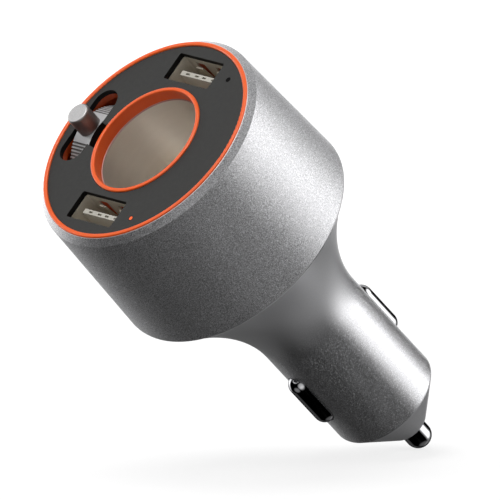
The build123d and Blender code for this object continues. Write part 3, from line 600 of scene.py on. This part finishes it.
def lens_tint(name, node, colour, rim, glow):
    """Light pipe: tinted plastic with a spot in the middle of its end, which takes on the colour of the rim
    towards the edge, by the distance from the pipe's axis."""
    low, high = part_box(node)
    centre = [0.5 * (a + b) for a, b in zip(low, high)]
    finish = Finish(name, 0.0, 0.6)
    reach = finish.off_axis((1, 1, 0), centre)
    spot = finish.range(reach, LENS_SPOT * MM, (LENS_SPOT + LENS_FADE) * MM, 1.0, 0.0)
    darker = tuple(channel * 0.85 for channel in colour)
    tint = finish.blend(finish.noise(1500), paint(*darker), paint(*colour))
    finish.set("Base Color", finish.blend(spot, paint(*rim), tint))
    finish.set("Specular IOR Level", 0.05)
    if glow:
        finish.set("Emission Color", tint)
        finish.set("Emission Strength", finish.range(spot, 0.0, 1.0, 0.0, glow))
    return finish.material


# the head's upward slope carries painted shade, and its lip and foot a painted highlight
head_metal = blasted_metal("blasted_head", (157, 157, 159), (242, 242, 244), 0.48, 0.2, cut_edges_and_painted_light=True)
barrel_metal = blasted_metal(
    "blasted_barrel", (184, 184, 186), (250, 250, 252), 0.38, 0.24, specks=(0.44, 0.76), fade=(21.0, 31.0))
nose_metal = blasted_metal("satin_nose", (184, 184, 186), (192, 192, 194), 0.42, 0.2)
chrome = polished_metal("contact_chrome", (190, 190, 192), 0.05, edge=0.05)
lining = socket_lining()

# plain plastics: colour and roughness
plastics = {
    "black_plastic": ((16, 15, 14), 0.5),
    "insulator_plastic": ((226, 220, 204), 0.5),
    "port_plastic": ((198, 194, 184), 0.45),
    "board_green": ((32, 92, 58), 0.4),
    "red_wire": ((176, 30, 24), 0.4),
    "capacitor_can": ((58, 60, 72), 0.35),
    "fuse_glass": ((214, 226, 222), 0.08),
}
finishes = {name: moulded_plastic(name, *look) for name, look in plastics.items()}
finishes |= {
    # painted shade: the orange moulding is painted darker 13 to 20.5 mm from the axis, in the recess under
    # the plate
    "orange_plastic": moulded_plastic(
        "orange_plastic", (249, 100, 36), 0.36, 700, 0.004, 0.97, inside=(13.0, 20.5, (186, 68, 10))),
    "plate_plastic": face_plastic(),
    "shell_metal": head_metal,
    "contact_chrome": chrome,
    "spring_steel": polished_metal("spring_wire", (150, 150, 155), 0.25),
    "contact_brass": polished_metal("contact_brass", (205, 160, 80), 0.28),
    "magnet_metal": polished_metal("magnet_metal", (170, 172, 175), 0.3),
    "lever_metal": ribbed_drum(),
    "socket_steel": lining,
    "port_steel": port_steel(),
    "orange_lens": lens_tint("orange_lens", "light_pipe_left", (255, 110, 64), (52, 50, 49), 0.35),
    "dark_lens": lens_tint("dark_lens", "light_pipe_right", (4, 4, 4), (3, 3, 3), 0.0),
}
for node in nodes.values():
    for place in node.material_slots:
        place.material = finishes[place.material.name.split(".")[0]]

# Pieces

head_outline = rounded(
    [(HEAD_BORE, HEAD_Z), (HEAD_FOOT_R, HEAD_Z), (CHAMFER_R, CHAMFER_Z), (LIP_R, FACE_Z),
     (RING_SEAT_R, FACE_Z), (RING_SEAT_R, RING_SEAT_Z), (HEAD_BORE, RING_SEAT_Z)],
    [0.1, 0.3, 0.12, 0.08, 0.01, 0.05, 0.1])
nose_outline = rounded(
    [(TIP_R + SLIDE_GAP, NOSE_END_Z), (NOSE_END_R, NOSE_END_Z), (BARREL_R, NOSE_EDGE_Z), (BARREL_R, 0.0),
     (NOSE_SPIGOT_R, 0.0), (NOSE_SPIGOT_R, NOSE_SPIGOT_Z), (NOSE_BORE, NOSE_SPIGOT_Z),
     (TIP_CHAMBER_R, TIP_CHAMBER_Z), (TIP_CHAMBER_R, TIP_SEAT_Z), (TIP_R + SLIDE_GAP, TIP_SEAT_Z)],
    [0.05, 1.2, 0.6, 0.02, 0.05, 0.1, 0.1, 0.3, 0.1, 0.1])
sleeve_outline = rounded(
    [(SLEEVE_HOLE_R, SLEEVE_FOOT_Z), (SLEEVE_R, SLEEVE_FOOT_Z), (SLEEVE_R, SLEEVE_FLANGE_Z),
     (SLEEVE_FLANGE_R, SLEEVE_FLANGE_Z), (SLEEVE_FLANGE_R, SLEEVE_FLANGE_TOP), (SLEEVE_R, SLEEVE_FLANGE_TOP),
     (SLEEVE_R, WEB_Z), (SLEEVE_BORE, WEB_Z), (SLEEVE_BORE, SLEEVE_FLOOR_Z), (SLEEVE_HOLE_R, SLEEVE_FLOOR_Z)],
    [0.1, 0.5, 0.1, 0.2, 0.2, 0.1, 0.1, 0.24, 0.5, 0.1])

piece("head_tube", [turned(head_outline)], "root", ["head_shell"], head_metal)
piece("plug_barrel", [plug_shell()], "root", ["plug_body"], barrel_metal)
piece("nose_cone", [turned(nose_outline)], "root", ["nose_cap"], nose_metal)
piece("tip_pin", [tip_shell()], "tip", ["tip_contact"], chrome)
for side_name, side in (("left", -1), ("right", 1)):
    piece(f"contact_bar_{side_name}", contact_bar(side), f"contact_{side_name}",
          [f"side_contact_{side_name}"], chrome)
piece("socket_cup", [turned(sleeve_outline)], "root", ["socket_sleeve"], lining)
piece("knob", [knob_shell()], "lever", ["lever_knob"], satin_knob())

# Camera

toward = Vector((
    math.sin(VIEW_AZ) * math.cos(VIEW_EL), -math.cos(VIEW_AZ) * math.cos(VIEW_EL), math.sin(VIEW_EL)))
level_right = Vector((math.cos(VIEW_AZ), math.sin(VIEW_AZ), 0.0))
level_up = toward.cross(level_right)
view_right = level_right * math.cos(VIEW_LEAN) - level_up * math.sin(VIEW_LEAN)
view_up = level_right * math.sin(VIEW_LEAN) + level_up * math.cos(VIEW_LEAN)
target = Vector((0, 0, VIEW_CENTRE_Z * MM)) + level_right * (VIEW_SIDE * MM)
lens = bpy.data.cameras.new("camera")
lens.sensor_width = 36.0
lens.lens = lens.sensor_width * VIEW_DISTANCE / (VIEW_WIDTH * MM)
lens.clip_start, lens.clip_end = 0.01, 100.0
camera = bpy.data.objects.new("camera", lens)
bpy.context.scene.collection.objects.link(camera)
axes = Matrix((view_right, view_up, toward)).transposed().to_4x4()
camera.matrix_world = Matrix.Translation(target + toward * VIEW_DISTANCE) @ axes
bpy.context.scene.camera = camera
bpy.context.scene.view_settings.view_transform = "Standard"


# Studio

def seen_from_camera(right, up, near):
    """World direction from its shares to the right, upwards and towards the camera of the photograph."""
    return (view_right * right + view_up * up + toward * near).normalized()


# each softbox: its place as the camera sees it, inner and outer angle in degrees, strength. Ten of the rows
# were fitted to the photograph's brightness by least squares and rounded. Five were changed or added:
# upper right, straight behind, upper left in front, lower right in front and beside the camera
softboxes = {
    "right, with a firm edge": ((0.99, 0.03, -0.10), 16, 24, 1.30),
    "right, with a soft edge": ((0.99, 0.05, -0.12), 18, 36, 0.70),
    "upper right": ((0.85, 0.52, -0.06), 10, 31, 2.45),
    "high behind": ((0.14, 0.68, -0.72), 8, 30, 1.00),
    "behind, a little left": ((-0.24, 0.26, -0.93), 8, 26, 2.00),
    "straight behind": ((0.06, 0.10, -0.99), 5, 15, 2.60),
    "left behind, higher": ((-0.70, 0.32, -0.65), 8, 30, 1.95),
    "left behind, lower": ((-0.67, -0.09, -0.74), 8, 30, 1.75),
    "upper left in front": ((-0.59, 0.61, 0.51), 12, 37, 1.80),
    "lower right in front": ((0.36, -0.55, 0.75), 8, 30, 0.30),
    "beside the camera": ((0.18, -0.30, 0.94), 12, 38, 0.70),
    "low left": ((-0.42, -0.85, 0.32), 8, 30, 0.25),
    "lower right behind": ((0.65, -0.37, -0.66), 8, 33, 0.30),
    "low right": ((0.50, -0.83, -0.25), 8, 30, 0.14),
    "low behind": ((-0.20, -0.52, -0.83), 8, 34, 0.14),
}
PAPER_INNER, PAPER_OUTER = 2, 10  # degrees
KEY_SIZE, KEY_DISTANCE, KEY_POWER = 0.5, 0.8, 3.7  # metres, and watts for the power
FLOOR_TILT, FLOOR_GREY, FLOOR_GLOW, FLOOR_FAR_GLOW = math.radians(9), 0.27, 0.765, 0.95
FLOOR_REACH, FLOOR_NEAR, FLOOR_FAR = 0.6, 0.10, 0.40  # metres from the tip

world = bpy.data.worlds.new("studio")
bpy.context.scene.world = world
world.use_nodes = True
sky = Graph(world.node_tree)
sky.tree.nodes.clear()
sky_direction = sky.add("ShaderNodeTexCoord").outputs["Generated"]


def sky_patch(aim, inner, outer, strength):
    """Round patch of light: full within the inner angle of its aim and gone at the outer one, by the cosine
    of the angle between the aim and the direction looked at."""
    cosine = sky.vectors("DOT_PRODUCT", sky_direction, seen_from_camera(*aim))["Value"]
    gone, full = math.cos(math.radians(outer)), math.cos(math.radians(inner))
    return sky.range(cosine, gone, full, 0.0, strength, True)


def sky_light(strength):
    """White background shader of a strength."""
    node = sky.add("ShaderNodeBackground")
    node.inputs["Color"].default_value = (1, 1, 1, 1)
    sky.fill(node.inputs["Strength"], strength)
    return node.outputs["Background"]


box_light = 0.0
for box in softboxes.values():
    box_light = sky.maths("ADD", box_light, sky_patch(*box))
# White paper: all round for the camera, and behind the object for reflections and clear parts
rays = sky.add("ShaderNodeLightPath").outputs
mirrored = sky.maths("MAXIMUM", rays["Is Glossy Ray"], rays["Is Transmission Ray"])
behind = sky_patch((0.0, 0.0, -1.0), PAPER_INNER, PAPER_OUTER, 1.0)
on_paper = sky.maths("MAXIMUM", rays["Is Camera Ray"], sky.maths("MULTIPLY", mirrored, behind))
backdrop = sky.mix(on_paper, sky_light(box_light), sky_light(1.0))
sky.link(backdrop, sky.add("ShaderNodeOutputWorld").inputs["Surface"])

key = bpy.data.lights.new("key", "AREA")
key.shape, key.size, key.energy = "DISK", KEY_SIZE, KEY_POWER
lamp = bpy.data.objects.new("key", key)
bpy.context.scene.collection.objects.link(lamp)
lamp_direction = seen_from_camera(-0.25, 1.0, 0.35)
lamp_turn = lamp_direction.to_track_quat("Z", "Y").to_matrix().to_4x4()
lamp.matrix_world = Matrix.Translation(target + lamp_direction * KEY_DISTANCE) @ lamp_turn

# Floor: through the tip, as the photograph has it, seen only from its upper side
floor_up = seen_from_camera(0.0, math.cos(FLOOR_TILT), math.sin(FLOOR_TILT))
floor_spot = Vector((0, 0, DOME_Z * MM)) - floor_up * (TIP_R * MM)
floor_turn = floor_up.to_track_quat("Z", "Y").to_matrix() * FLOOR_REACH
floor_corners = [floor_spot + floor_turn @ Vector((x, y, 0)) for x, y in ((-1, -1), (1, -1), (1, 1), (-1, 1))]
floor_mesh = bpy.data.meshes.new("floor")
floor_mesh.from_pydata(floor_corners, [], [(0, 1, 2, 3)])
floor = bpy.data.objects.new("floor", floor_mesh)
bpy.context.scene.collection.objects.link(floor)
floor.visible_diffuse = floor.visible_glossy = floor.visible_transmission = floor.visible_shadow = False

# The floor's paper glows a little more away from the tip, so that the background stays white
paper = bpy.data.materials.new("paper_floor")
paper.use_nodes = True
sheet = Graph(paper.node_tree)
sheet.tree.nodes.clear()
away = sheet.vectors("DISTANCE", sheet.add("ShaderNodeTexCoord").outputs["Object"], floor_spot)["Value"]
glow = sheet.add("ShaderNodeEmission")
sheet.fill(glow.inputs["Strength"], sheet.range(away, FLOOR_NEAR, FLOOR_FAR, FLOOR_GLOW, FLOOR_FAR_GLOW))
matt = sheet.add("ShaderNodeBsdfDiffuse")
matt.inputs["Color"].default_value = (FLOOR_GREY, FLOOR_GREY, FLOOR_GREY, 1)
both = sheet.add("ShaderNodeAddShader")
sheet.link(glow.outputs["Emission"], both.inputs[0])
sheet.link(matt.outputs["BSDF"], both.inputs[1])
from_below = sheet.add("ShaderNodeNewGeometry").outputs["Backfacing"]
clear = sheet.add("ShaderNodeBsdfTransparent").outputs["BSDF"]
surface = sheet.mix(from_below, both.outputs["Shader"], clear)
sheet.link(surface, sheet.add("ShaderNodeOutputMaterial").inputs["Surface"])
floor_mesh.materials.append(paper)
